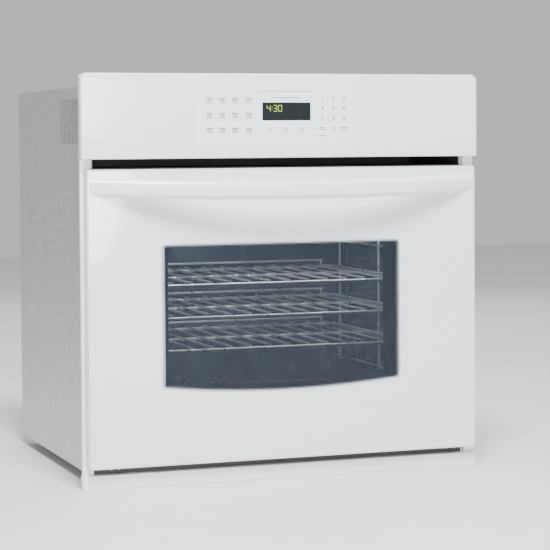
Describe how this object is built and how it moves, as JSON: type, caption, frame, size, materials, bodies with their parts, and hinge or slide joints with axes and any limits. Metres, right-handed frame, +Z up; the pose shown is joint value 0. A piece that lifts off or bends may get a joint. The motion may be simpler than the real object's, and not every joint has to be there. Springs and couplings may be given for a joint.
{
  "type": "wall oven",
  "caption": "Built-in electric wall oven with a drop-down glazed door, bowed full-width handle, control panel, wire racks and a deep steel casing.",
  "frame": {"origin": "middle of the chassis base where it rests on the cabinet shelf, in the plane of the cabinet's face", "axes": "+X to the right seen from the front, -Y out of the cabinet towards the user, +Y into the cabinet, +Z up"},
  "size_m": [0.762, 0.6757, 0.7366],
  "materials": {
    "galvanised_steel": "galvanised sheet, spangled satin",
    "white_enamel": "glossy white baked enamel",
    "dark_enamel": "speckled dark blue-grey porcelain enamel",
    "black_steel": "matt black",
    "mineral_wool": "fibrous mineral wool",
    "chrome_wire": "nickel-chrome plated wire",
    "glass_braid": "woven glass-fibre braid",
    "element_sheath": "heat-tinted alloy sheath",
    "white_ceramic": "glazed ceramic",
    "clear_glass": "clear glass",
    "door_glass": "toughened glass, white ceramic print round the window",
    "black_plastic": "matt black plastic",
    "white_plastic": "satin white plastic film",
    "display_glass": "dark smoked lens",
    "circuit_board": "green circuit board",
    "bare_steel": "zinc plated steel",
    "handle_white": "smooth white enamel"
  },
  "bodies": {
    "chassis": {"chassis_side_left": "galvanised_steel", "chassis_side_right": "galvanised_steel", "chassis_top": "galvanised_steel", "chassis_back": "galvanised_steel", "base_pan": "galvanised_steel", "front_head": "galvanised_steel", "top_deck": "galvanised_steel", "blower_housing": "galvanised_steel", "control_bracket": "galvanised_steel", "junction_box": "galvanised_steel", "junction_cover": "galvanised_steel", "latch_plate": "galvanised_steel", "side_trim_left": "white_enamel", "side_trim_right": "white_enamel", "bottom_trim": "white_enamel", "control_fascia": "white_enamel", "front_frame": "dark_enamel", "oven_cavity": "dark_enamel", "vent_duct": "black_steel", "cavity_insulation": "mineral_wool", "rack_guide_left": "chrome_wire", "rack_guide_right": "chrome_wire", "cavity_gasket": "glass_braid", "bake_element": "element_sheath", "broil_element": "element_sheath", "temperature_probe": "bare_steel", "hinge_receivers": "bare_steel", "hinge_arms": "bare_steel", "case_screws": "bare_steel", "blower_motor": "bare_steel", "latch_motor": "bare_steel", "lamp_socket": "white_ceramic", "lamp_bulb": "clear_glass", "lamp_lens": "clear_glass", "keypad_overlay": "white_plastic", "display_lens": "display_glass", "display_module": "black_plastic", "door_switch": "black_plastic", "thermal_cutout": "black_plastic", "control_board": "circuit_board"},
    "door": {"door_frame": "white_enamel", "door_outer_glass": "door_glass", "window_tunnel": "bare_steel", "door_middle_glass": "clear_glass", "door_inner_glass": "clear_glass", "door_liner": "dark_enamel", "door_insulation": "mineral_wool", "door_handle": "handle_white", "handle_screws": "bare_steel", "hinge_body_left": "bare_steel", "hinge_body_right": "bare_steel", "hinge_pins": "bare_steel", "hinge_springs": "bare_steel", "latch_keeper": "bare_steel"},
    "rack_upper": {"rack_upper": "chrome_wire"},
    "rack_middle": {"rack_middle": "chrome_wire"},
    "rack_lower": {"rack_lower": "chrome_wire"},
    "blower_wheel": {"blower_wheel": "bare_steel"},
    "latch_hook": {"latch_hook": "bare_steel"},
    "switch_plunger": {"switch_plunger": "white_plastic"}
  },
  "joints": [
    {"name": "door_hinge", "type": "hinge", "parent": "chassis", "child": "door", "pos_m": [0, -0.018, 0.026], "axis": [1, 0, 0], "range_deg": [0, 90]},
    {"name": "rack_upper_slide", "type": "slide", "parent": "chassis", "child": "rack_upper", "axis": [0, -1, 0], "range_m": [0, 0.3]},
    {"name": "rack_middle_slide", "type": "slide", "parent": "chassis", "child": "rack_middle", "axis": [0, -1, 0], "range_m": [0, 0.3]},
    {"name": "rack_lower_slide", "type": "slide", "parent": "chassis", "child": "rack_lower", "axis": [0, -1, 0], "range_m": [0, 0.3]},
    {"name": "blower_spin", "type": "hinge", "parent": "chassis", "child": "blower_wheel", "pos_m": [0, 0.3, 0.59], "axis": [0, 0, 1], "continuous": true},
    {"name": "latch_turn", "type": "hinge", "parent": "chassis", "child": "latch_hook", "pos_m": [-0.025, 0.04, 0.5317], "axis": [0, 0, -1], "range_deg": [0, 90]},
    {"name": "switch_slide", "type": "slide", "parent": "chassis", "child": "switch_plunger", "axis": [0, -1, 0], "range_m": [0, 0.004]}
  ],
  "couplings": [
    {"joint": "rack_upper_slide", "follows": "door_hinge", "m_per_rad": 0.1909},
    {"joint": "rack_middle_slide", "follows": "door_hinge", "m_per_rad": 0.1909},
    {"joint": "rack_lower_slide", "follows": "door_hinge", "m_per_rad": 0.1909},
    {"joint": "switch_slide", "follows": "door_hinge", "m_per_rad": 0.0025}
  ]
}
